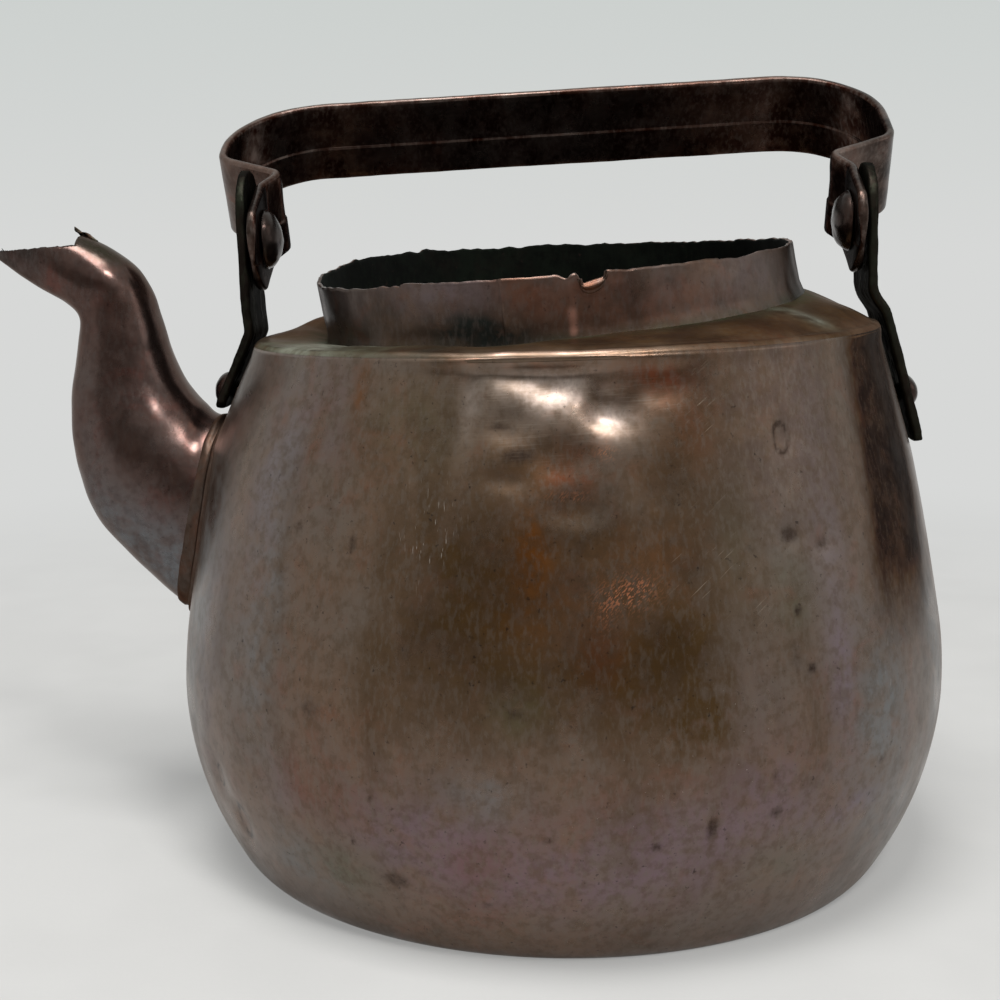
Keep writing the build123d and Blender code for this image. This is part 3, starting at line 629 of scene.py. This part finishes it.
turn, place = np.meshgrid(np.linspace(0, 2 * math.pi, 96, endpoint=False), np.linspace(0.4, 10, 200))
neck_grid = spout_at(place, turn)
spout_out = outward_of(neck_grid)
if spout_out[60, 0] @ np.array([1, 0, 0.3]) < 0:
    neck_grid, turn, spout_out = neck_grid[:, ::-1], turn[:, ::-1], -spout_out[:, ::-1]
wavy = 0.4 * wander(neck_grid, 17, 21) + 0.16 * wander(neck_grid, 6, 22)
neck_grid = neck_grid + spout_out * (wavy * between(place, 1.4, 2.4, 9.2, 10))[..., None]
spout_paint = {
    # Blue-grey low down: a painted reflection of the pale floor
    "blue_and_reflection": smooth(-(neck_grid[..., 2] + 0.35 * neck_grid[..., 0]), -56, -38) * 0.9,
    "dark": smooth(place, 8.6, 9.4) * (0.55 + 0.4 * wander(neck_grid, 7, 23)),
    "olive": hump(place - 8.4, 0.7) * smooth(np.cos(turn), 0.55, 0.92),
    # A pinkish spot on top of the bend, partly wear and partly a painted highlight
    "wear_and_highlight": (hump(place - 7.7, 0.45) * smooth(np.cos(turn), -0.2, 0.7)
             * (0.35 + 0.4 * wander(neck_grid, 4, 24))),
}
spout = sheet_object("spout_copper", neck_grid, spout_paint)

# The mouth is torn open along a plane that rises to the beak's tip.
mouth_corner = Vector((-119.5, 0, 148.2)) * MM
mouth_slope = math.radians(4.5)
mouth_up = Vector((-math.sin(mouth_slope), 0, math.cos(mouth_slope)))
upper_spout = 140 * MM
cutting = bmesh.new()
cutting.from_mesh(spout.data)
for plane_up in (mouth_up, Vector((1, 0, 0))):
    bmesh.ops.bisect_plane(cutting, geom=cutting.verts[:] + cutting.edges[:] + cutting.faces[:],
                           plane_co=mouth_corner, plane_no=plane_up)
torn_away = []
for face in cutting.faces:
    from_corner = face.calc_center_median() - mouth_corner
    if from_corner.x < 0 and from_corner @ mouth_up > 0:
        torn_away.append(face)
bmesh.ops.delete(cutting, geom=torn_away, context="FACES")
at_mouth = [vertex for vertex in cutting.verts
            if vertex.co.z > upper_spout and abs((vertex.co - mouth_corner) @ mouth_up) < 0.7 * MM]
bmesh.ops.remove_doubles(cutting, verts=at_mouth, dist=0.3 * MM)
for vertex in cutting.verts:
    if vertex.is_boundary and vertex.co.z > upper_spout:
        vertex.co.z -= MM * (0.25 + 0.3 * noise.noise(vertex.co / MM / 5.5))
cutting.to_mesh(spout.data)
cutting.free()
give_thickness(spout, 0.8, inside=1, rim=1)
# Beaten copper that hands have polished: the clearest mirror on the kettle, plum-brown, with a
# painted bluish reflection of the floor low down, a pinkish spot on top of the bend that is partly
# wear and partly a painted highlight, and dull at the burnt beak
spout.data.materials.append(patinated_copper(
    "patinated copper, goose neck", ("#5a4640", "#382b28", "#66413a", "#625956"),
    films=(("blue_and_reflection", "#6a6d70"), ("olive", "#3a382c"), ("dark", "#2a2522")), spots=(("wear_and_highlight", "#b98a7c", 0.8),),
    gloss=(0.2, 0.34), metallic=0.95, edge_tone="#d8d0cc"))
spout.data.materials.append(inside_oxide)
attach(spout, "kettle")
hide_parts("spout")

# The foot flange: for each direction round the spout it starts where the neck meets the wall.
flange_turn = np.linspace(0, 2 * math.pi, 140, endpoint=False)
fine = np.linspace(0.4, 4.0, 900)
spout_side_top = (75.11, 123.94)
spout_side = np.vstack([belly, spout_side_top])


def wall_radius(height):
    """Outer radius of the wall at a height, on the spout's side."""
    return np.interp(height, spout_side[:, 1], spout_side[:, 0])


meeting = []
for direction in flange_turn:
    line = spout_at(fine, np.full(fine.shape, direction))
    outside = np.hypot(line[:, 0], line[:, 1]) > wall_radius(line[:, 2]) - 0.1
    meeting.append(fine[np.argmax(outside)])
meeting = np.array(meeting)
here = spout_at(meeting, flange_turn)
run = unit(spout_at(meeting + 0.02, flange_turn) - here)
away = unit(np.cross(np.roll(here, -1, 0) - np.roll(here, 1, 0), run))
away *= np.sign((away * (here - here.mean(axis=0))).sum(axis=1))[:, None]
off_wall = unit(here * np.array([1, 1, 0]))
on_wall = unit(away - (away * off_wall).sum(axis=1, keepdims=True) * off_wall)
share_of_width = 1 - 0.8 * smooth(np.cos(flange_turn), 0.5, 0.85) - 0.5 * smooth(-np.cos(flange_turn), 0.6, 0.95)
# Its section: first along the neck and off it, then out over the wall and off it, in millimetres
flange_rows = [here + run * along + away * lift for along, lift in ((2.6, 0.1), (2.2, 0.35), (0.9, 0.7))]
for distance, lift in ((0.9, 0.75), (1.8, 0.55), (4.3, 0.5), (4.8, 0.35), (4.95, -0.4)):
    spread = here + on_wall * (distance * share_of_width)[:, None]
    spread_angles = np.arctan2(spread[:, 1], spread[:, 0])
    radius = wall_radius(spread[:, 2]) + lift - blot(spread_angles, spread, [foot_knock])
    spread[:, :2] *= (radius / np.hypot(spread[:, 0], spread[:, 1]))[:, None]
    flange_rows.append(spread)
flange = np.array(flange_rows)
flange = flange + 0.12 * wander(flange, 5, 25)[..., None] * off_wall
if outward_of(flange)[2, 0] @ away[0] < 0:
    flange = flange[:, ::-1]
edge_marks = np.array([0.2, 0.5, 0.4, 0.1, 0, 0.3, 0.6, 0.4])[:, None]
flange_piece = sheet_object("spout_foot_flange", flange, {"wear_and_highlight": edge_marks * (0.6 + 0.4 * wander(flange, 4, 26))})
# Copper dulled by solder and its flux: a dark matt brown, a little paler on its worn edge
flange_piece.data.materials.append(patinated_copper(
    "patinated copper, soldered flange", ("#4c3b32", "#31261f", "#5a3a2c", "#544c47"),
    spots=(("wear_and_highlight", "#80695c", 0.6),), gloss=(0.36, 0.5), grit=1.2, edge_tone="#b0a49c"))
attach(flange_piece, "kettle")

# The sliver: torn sheet left standing along the back of the mouth, rising to a point at its end.
sliver_along = np.linspace(0, 1, 31)
sliver_rise = np.interp(sliver_along, (0, 0.08, 0.2, 0.32, 0.5, 0.7, 1), (1.6, 3.4, 2.2, 1.3, 0.9, 0.5, 0.1))
sliver_rows = []
for up in np.linspace(0, 1, 9):
    sliver_rows.append(np.stack([-119.4 + 6.0 * sliver_along - 0.85 * sliver_rise * up**2,
                                 1.2 - 1.0 * sliver_along + 0.5 * np.sin(9 * sliver_along) * up,
                                 149.4 - 3.2 * sliver_along**1.15 + sliver_rise * up], -1))
sliver = sheet_object("spout_torn_sliver", np.array(sliver_rows), closed=False)
give_thickness(sliver, 1.0)
# Thin torn sheet with dirt in its folds: a dull olive-black
sliver.data.materials.append(patinated_copper(
    "torn spout sheet", ("#36332b", "#23211d", "#4f3a30", "#45443c"), gloss=(0.36, 0.55), edge_tone="#8a8478"))
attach(sliver, "kettle")

# Ears
# Two forged straps, riveted to the wall at the foot and standing past the handle's pivots. Their
# edges are rounded by the hammer, and the folds over the crease hold verdigris.


def as_mesh(piece):
    """The piece's mesh with its modifiers applied."""
    return bpy.data.meshes.new_from_object(piece.evaluated_get(bpy.context.evaluated_depsgraph_get()))


# Forged copper, blackened and never rubbed: nearly black with a green cast, lit only on its edges
ear_patina = patinated_copper("forged copper, verdigris", ("#231d19", "#151210", "#35261f", "#2c3127"),
                              gloss=(0.36, 0.55), grit=1.3, edge_tone="#6e6a62")
for name in ("spout_ear", "rear_ear"):
    blank = put(name + "_blank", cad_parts[name].data.copy())
    merging = bmesh.new()
    merging.from_mesh(blank.data)
    bmesh.ops.remove_doubles(merging, verts=merging.verts, dist=0.01 * MM)
    merging.to_mesh(blank.data)
    merging.free()
    fused = blank.modifiers.new("even faces", "REMESH")
    fused.mode = "VOXEL"
    fused.voxel_size = 0.5 * MM
    eased = blank.modifiers.new("hammered edges", "SMOOTH")
    eased.factor = 0.5
    eased.iterations = 6
    shaped = as_mesh(blank)
    bpy.data.objects.remove(blank)
    for vertex, normal in zip(shaped.vertices, [n.vector.copy() for n in shaped.vertex_normals]):
        point = vertex.co / MM
        vertex.co -= normal * MM * (0.1 + 0.16 * noise.noise(point / 5.0) + 0.06 * noise.noise(point / 1.8))
    shaped.shade_smooth()
    shaped.materials.clear()
    shaped.materials.append(ear_patina)
    ear = put(name + "_forged", shaped)
    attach(ear, "kettle")
    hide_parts(name)

# Rivets
# Four copper rivets, their heads beaten to uneven domes. Two hold the ears' feet to the wall, and
# two larger ones are the handle's pivots, headed on the inner side of its tabs.
tree = rivet_tree = bpy.data.node_groups.new("hammered rivet", "GeometryNodeTree")
rivet_sizes = ("Head radius", "Head height", "Shank radius", "Grip", "Tail radius", "Tail height", "Blow depth")
for label, kind in (("Geometry", "Geometry"), *((size, "Float") for size in rivet_sizes), ("Finish", "Material")):
    tree.interface.new_socket(label, in_out="INPUT", socket_type="NodeSocket" + kind)
tree.interface.new_socket("Geometry", in_out="OUTPUT", socket_type="NodeSocketGeometry")
given = add(tree, "NodeGroupInput").outputs

# The head is a ball with its lower half pressed flat. The shank and the tail are under it.
ball = add(tree, "GeometryNodeMeshUVSphere", {"Segments": 40, "Rings": 24, "Radius": 1.0})
pressed = add(tree, "ShaderNodeVectorMath", {0: add(tree, "GeometryNodeInputPosition"), 1: (-1, -1, 0)},
              operation="MAXIMUM")
head_size = add(tree, "ShaderNodeCombineXYZ", {
    0: given["Head radius"], 1: given["Head radius"], 2: given["Head height"]})
domed = add(tree, "ShaderNodeVectorMath", {0: pressed, 1: head_size}, operation="MULTIPLY")
parts = [add(tree, "GeometryNodeSetPosition", {"Geometry": ball, "Position": domed})]
for radius, length, start in (("Shank radius", "Grip", 0.0), ("Tail radius", "Tail height", given["Grip"])):
    rod = add(tree, "GeometryNodeMeshCylinder", {"Vertices": 32, "Radius": given[radius], "Depth": given[length]})
    middle = add(tree, "ShaderNodeMath", {0: given[length], 1: -0.5}, operation="MULTIPLY")
    level = add(tree, "ShaderNodeMath", {0: middle, 1: start}, operation="SUBTRACT")
    drop = add(tree, "ShaderNodeCombineXYZ", {2: level})
    parts.append(add(tree, "GeometryNodeTransform", {"Geometry": rod, "Translation": drop}))
whole = add(tree, "GeometryNodeJoinGeometry")
for part in parts:
    tree.links.new(part.outputs[0], whole.inputs[0])

# One rivet on each point of the seat, turned to face its way, and then beaten
facing = add(tree, "GeometryNodeInputNamedAttribute", {"Name": "facing"}, data_type="FLOAT_VECTOR")
aimed = add(tree, "FunctionNodeAlignRotationToVector", {"Vector": facing}, axis="Z")
points = add(tree, "GeometryNodeMeshToPoints", {"Mesh": given["Geometry"]})
placed = add(tree, "GeometryNodeInstanceOnPoints", {"Points": points, "Instance": whole, "Rotation": aimed})
real = add(tree, "GeometryNodeRealizeInstances", {0: placed})
blows = add(tree, "ShaderNodeTexVoronoi", {"Scale": 1 / (3.2 * MM), "Smoothness": 0.35}, feature="SMOOTH_F1")
depth = add(tree, "ShaderNodeMath", {0: blows, 1: given["Blow depth"]}, operation="MULTIPLY")
sunk = add(tree, "ShaderNodeMath", {0: depth, 1: -1.0}, operation="MULTIPLY")
dented = add(tree, "ShaderNodeVectorMath", {0: add(tree, "GeometryNodeInputNormal"), "Scale": sunk},
             operation="SCALE")
beaten = add(tree, "GeometryNodeSetPosition", {"Geometry": real, "Offset": dented})
finished = add(tree, "GeometryNodeSetMaterial", {"Geometry": beaten, "Material": given["Finish"]})
add(tree, "NodeGroupOutput", {0: finished})

# Beaten and then rubbed by the handle: dark copper with a clear mirror on each blow
rivet_patina = patinated_copper("hammered rivet copper", ("#3a2b26", "#241c19", "#4c3027", "#453e3a"),
                                gloss=(0.18, 0.34), grit=1.1)


def set_rivets(name, nodes, places, directions, sizes):
    """Makes the rivets at the given places, by their sizes, and replaces their CAD nodes."""
    seat = bpy.data.meshes.new(name)
    seat.from_pydata([tuple(place * MM) for place in places], [], [])
    seat.attributes.new("facing", "FLOAT_VECTOR", "POINT").data.foreach_set("vector", np.ravel(directions))
    holder = put(name, seat)
    maker = holder.modifiers.new("rivets", "NODES")
    maker.node_group = rivet_tree
    given = {**{label: size * MM for label, size in zip(rivet_sizes, sizes)}, "Finish": rivet_patina}
    for item in rivet_tree.interface.items_tree:
        if item.in_out == "INPUT" and item.name in given:
            maker[item.identifier] = given[item.name]
    made = as_mesh(holder)
    bpy.data.objects.remove(holder)
    made.shade_smooth()
    piece = put(name, made)
    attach(piece, "kettle")
    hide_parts(*nodes)


pivot_tilt = math.radians(1.84)
pivot_axis = np.array([math.cos(pivot_tilt), 0, math.sin(pivot_tilt)])
pivot_up = np.array([-math.sin(pivot_tilt), 0, math.cos(pivot_tilt)])
pivot_middle = np.array([-1.5, 0, 151.5])
head_seat = 71.55
set_rivets("pivot_rivets", ("spout_pivot_rivet", "rear_pivot_rivet"),
           [pivot_middle + pivot_axis * side * head_seat for side in (-1, 1)],
           [pivot_axis * -side for side in (-1, 1)], (7.4, 4.2, 3.0, 5.5, 4.7, 1.0, 0.45))

ear_thickness = 3.1
ear_rivet_height = 112.4
rear_side_top = (77.20, 129.26)
ear_faces, ear_normals = [], []
for side, top in ((-1, spout_side_top), (1, rear_side_top)):
    run = np.array([side * (top[0] - chest[0]), 0, top[1] - chest[1]])
    outward = unit(np.array([run[2], 0, -run[0]])) * side
    start = np.array([side * chest[0], 0, chest[1]]) + outward * ear_thickness
    ear_faces.append(start + run * (ear_rivet_height - start[2]) / run[2])
    ear_normals.append(outward)
set_rivets("ear_rivets", ("spout_ear_rivet", "rear_ear_rivet"), ear_faces, ear_normals,
           (4.4, 3.2, 2.2, 4.65, 3.8, 1.0, 0.35))

# Handle
# One long strap of sheet, folded over on itself and hammered flat, so a lap runs along the side
# that the palm holds. It is bent like an omega, and its round tabs turn on the two pivots.
lean = math.radians(62)
handle_up = pivot_up * math.cos(lean) + np.array([0, 1, 0]) * math.sin(lean)
handle_across = np.cross(pivot_axis, handle_up)
tab_reach, tab_radius = 72.9, 12.6
half_line = [(tab_reach, -tab_radius), (tab_reach, 8.7), (68.9, 15.6), (85.4, 25.0)]
strap_points = half_line + [(85.4, 65.3), (-85.4, 54.7)] + [(-x, y) for x, y in reversed(half_line)]
strap_bends = [4.0, 2.4, 6.0, 25.0, 25.0, 6.0, 2.4, 4.0]


def bent_line(points, bends):
    """Straight runs joined by round bends."""
    line = [np.array(points[0], float)]
    for i, bend in enumerate(bends, 1):
        before, corner, after = [np.array(points[k], float) for k in (i - 1, i, i + 1)]
        come, leave = unit(before - corner), unit(after - corner)
        half = math.acos(np.clip(come @ leave, -1, 1)) / 2
        middle = corner + unit(come + leave) * bend / math.sin(half)
        ends = [corner + way * bend / math.tan(half) for way in (come, leave)]
        first, last = [math.atan2(*(end - middle)[::-1]) for end in ends]
        swing = (last - first + math.pi) % (2 * math.pi) - math.pi
        line += [middle + bend * np.array([math.cos(angle), math.sin(angle)])
                 for angle in np.linspace(first, first + swing, 40)]
    return np.array(line + [np.array(points[-1], float)])


strap_line, strap_places = evenly_along(bent_line(strap_points, strap_bends), spacing=0.75)
strap_run = unit(np.gradient(strap_line, axis=0))
strap_side = np.stack([strap_run[:, 1], -strap_run[:, 0]], 1)

# Its section: round edges, a flat outer face, and a palm face with the step of the lap
edge_radius, edge_across, edge_level = 1.15, 9.85, 0.15
face_level = edge_radius + edge_level
palm_lap = [(-8.0, -face_level), (-5.0, -face_level), (-2.6, -face_level), (-2.0, -face_level), (-1.8, -1.24),
            (-1.6, -1.0), (-1.3, -0.96)] + [(x, -0.98 - 0.32 * smooth(x, 2.0, 8.0)) for x in (1.0, 3.0, 5.0, 7.0)]
after_edge = {0: [(x, face_level) for x in np.linspace(8, -8, 9)], 2: palm_lap}
outline = []
for quarter, (side_x, side_y) in enumerate(((1, 1), (-1, 1), (-1, -1), (1, -1))):
    for angle in np.linspace(0, math.pi / 2, 6) + quarter * math.pi / 2:
        outline.append((side_x * edge_across + edge_radius * math.cos(angle),
                        side_y * edge_level + edge_radius * math.sin(angle)))
    outline += after_edge.get(quarter, [])
outline = np.array(outline)

# The tabs are rounded at the ends of the strap.
full_half_width = edge_across + edge_radius
from_end = np.minimum(strap_places, strap_places[-1] - strap_places)
past_pivot = np.clip(tab_radius - from_end, 0, tab_radius - 0.05)
narrow = np.minimum(1.0, np.sqrt(tab_radius**2 - past_pivot**2) / full_half_width)
strap_grid = []
for point, side, width in zip(strap_line, strap_side, narrow):
    across = outline[:, 0:1] * width
    flat = point + side * outline[:, 1:2] * min(1.0, 0.25 + width)
    strap_grid.append(pivot_middle + flat[:, 0:1] * pivot_axis + flat[:, 1:2] * handle_up + across * handle_across)
strap_grid = np.array(strap_grid)
strap_out = outward_of(strap_grid)
shaded_palm = smooth(-outline[:, 1], 0.2, 1.0)
if (strap_out * (strap_grid - strap_grid.mean(axis=1, keepdims=True))).sum(axis=2).mean() < 0:
    strap_grid = strap_grid[:, ::-1]
    strap_out = outward_of(strap_grid)
    shaded_palm = shaded_palm[::-1]
uneven = 0.14 * wander(strap_grid, 15, 31) + 0.07 * wander(strap_grid, 4.5, 32) - 0.12
strap_grid = strap_grid + strap_out * (uneven * smooth(from_end, 0.5, 3.0)[:, None])[..., None]
strap_paint = {
    # The palm side, the grip's underside, is painted near-black as its shade
    "shaded_palm": shaded_palm * (0.95 + 0.3 * wander(strap_grid, 12, 33)),
    # Painted shade over the strap's right part, and darker towards its ends
    "right_shade_and_dark_ends": np.maximum(smooth(strap_grid[..., 0], 66, 82), 1 - smooth(from_end, 18, 32)[:, None]),
}
strap = sheet_object("strap_handle_copper", strap_grid, strap_paint)
closing = bmesh.new()
closing.from_mesh(strap.data)
bmesh.ops.holes_fill(closing, edges=[edge for edge in closing.edges if edge.is_boundary], sides=0)
closing.to_mesh(strap.data)
closing.free()

# The tabs are drilled, with a little play round the rivets' shanks.
hole_radius = 3.08
for side in (-1, 1):
    bpy.ops.mesh.primitive_cylinder_add(vertices=48, radius=hole_radius * MM, depth=8 * MM)
    bit = bpy.context.object
    bit.matrix_world = (Matrix.Translation(Vector((pivot_middle + pivot_axis * side * tab_reach) * MM))
                        @ Vector((0, 0, 1)).rotation_difference(Vector(pivot_axis)).to_matrix().to_4x4())
    hole = strap.modifiers.new("hole", "BOOLEAN")
    hole.object = bit
    hole.solver = "EXACT"
    bpy.context.view_layer.update()
    drilled = as_mesh(strap)
    strap.modifiers.clear()
    strap.data = drilled
    bpy.data.objects.remove(bit)
strap.data.shade_smooth()
strap.data.materials.clear()
# Folded sheet, greasy from hands: a dim brown mirror. Its right part has painted shade and its ends are
# darker; the palm is painted red-black as its shade, with its low-angle sheen painted dark too
strap.data.materials.append(patinated_copper(
    "patinated copper, folded strap", ("#6a554c", "#3d2e27", "#6c4436", "#776c66"),
    films=(("right_shade_and_dark_ends", "#281f1a"), ("shaded_palm", "#250f08")), gloss=(0.22, 0.4), shaded_sheen_mark="shaded_palm"))
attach(strap, "handle")
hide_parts("handle")

# Floor, light and camera
# The kettle stands on a plain pale cloth in soft light from above, with a weaker lamp on the right
# and a small one in front that makes the bright spots on the knocks.


def flat_sheet(name, corners, material):
    """A flat object with four corners, such as the floor."""
    mesh = bpy.data.meshes.new(name)
    mesh.from_pydata(corners, [], [(0, 1, 2, 3)])
    mesh.materials.append(material)
    return put(name, mesh)


def seen_directly(tree):
    """1 for what the camera or a mirror sees, and 0 for the light that falls on the kettle."""
    rays = add(tree, "ShaderNodeLightPath").outputs
    seen = rays["Is Camera Ray"]
    for kind in ("Is Glossy Ray", "Is Transmission Ray"):
        seen = add(tree, "ShaderNodeMath", {0: seen, 1: rays[kind]}, operation="MAXIMUM")
    return seen


# Plain woven cotton: matt and pale grey, with faintly darker broad patches as painted shade of soft
# creases. The weave is drawn 1.4 mm coarse, because real threads are too fine to show. Far from the
# kettle it fades into the pale room.
cloth, tree = new_material("pale cloth")
place = add(tree, "ShaderNodeTexCoord").outputs["Object"]
tint = lay_over(tree, linear("#c8c7c4"), "#c1c0bd", patches(tree, place, 90, 0.35, 0.65, detail=3.0))
weave = add(tree, "ShaderNodeTexNoise", {"Vector": place, "Scale": 1 / (1.4 * MM), "Detail": 3.0})
woven = add(tree, "ShaderNodeBump", {"Height": weave, "Strength": 0.3, "Distance": 0.15 * MM})
matt = add(tree, "ShaderNodeBsdfPrincipled", {
    "Base Color": tint, "Roughness": 0.95, "Specular IOR Level": 0.1, "Normal": woven})
far = add(tree, "ShaderNodeVectorMath", {0: place}, operation="LENGTH").outputs["Value"]
# Near the kettle, about a third of what the camera and mirrors see of the cloth is the room's pale glow: painted
# light that softens the kettle's shadow
fade = add(tree, "ShaderNodeMapRange", {"Value": far, "From Min": 0.2, "From Max": 0.6, "To Min": 0.35},
           interpolation_type="SMOOTHSTEP")
backdrop = add(tree, "ShaderNodeEmission", {"Color": linear("#d7d8d7"), "Strength": 1.0})
faded = add(tree, "ShaderNodeMath", {0: fade, 1: seen_directly(tree)}, operation="MULTIPLY")
mixed = add(tree, "ShaderNodeMixShader", {0: faded, 1: matt, 2: backdrop})
add(tree, "ShaderNodeOutputMaterial", {"Surface": mixed})
floor = flat_sheet("pale_cloth", [(-4, -4, 0), (4, -4, 0), (4, 4, 0), (-4, 4, 0)], cloth)

world = bpy.data.worlds.new("pale room")
bpy.context.scene.world = world
world.use_nodes = True
tree = world.node_tree
tree.nodes.clear()
light = add(tree, "ShaderNodeBackground", {"Color": linear("#f4f6f8"), "Strength": 0.42})
level = add(tree, "ShaderNodeSeparateXYZ", {0: add(tree, "ShaderNodeTexCoord").outputs["Generated"]})
climb = add(tree, "ShaderNodeMapRange", {"Value": level.outputs["Z"], "From Min": -0.01, "From Max": 0.14})
pale = add(tree, "ShaderNodeBackground", {"Color": lay_over(tree, linear("#d7d8d7"), "#cdd1cf", climb),
                                          "Strength": 1.0})
both = add(tree, "ShaderNodeMixShader", {0: seen_directly(tree), 1: light, 2: pale})
add(tree, "ShaderNodeOutputWorld", {"Surface": both})

# Square soft lamps: place, aim, width and power
for name, place, aim, size, power in (("overhead box", (-0.12, -0.3, 1.2), (0, 0, 0.08), 0.5, 11.5),
                                      ("side box", (1.2, -0.3, 0.7), (0, 0, 0.1), 0.6, 1.2),
                                      ("front box", (0.34, -0.74, 1.15), (-0.05, 0, 0.1), 0.24, 6)):
    lamp = bpy.data.lights.new(name, "AREA")
    lamp.size = size
    lamp.energy = power
    box = put(name, lamp)
    box.location = place
    box.rotation_euler = (Vector(aim) - Vector(place)).to_track_quat("-Z", "Y").to_euler()

# The unlit side of the room, behind the camera, which only the copper's mirror shows.
unlit, tree = new_material("unlit wall")
dim = add(tree, "ShaderNodeEmission", {"Color": linear("#7c7872"), "Strength": 1.0})
add(tree, "ShaderNodeOutputMaterial", {"Surface": dim})
unlit_room = flat_sheet("unlit_room", [(x, -1.6, z) for x, z in ((-1.7, 0.02), (1.7, 0.02), (1.7, 0.75),
                                                                 (-1.7, 0.75))], unlit)
unlit_room.visible_camera = False
unlit_room.visible_diffuse = False
unlit_room.visible_shadow = False

camera_data = bpy.data.cameras.new("camera")
camera_data.lens = 54.76
camera_data.sensor_width = 36
camera_data.clip_start = 0.01
camera = put("camera", camera_data)
camera.location = (0.00093, -0.3803, 0.1498)
camera.rotation_euler = (math.radians(90 - 9.81), 0, math.radians(2.4))
bpy.context.scene.camera = camera
bpy.context.scene.view_settings.view_transform = "Standard"
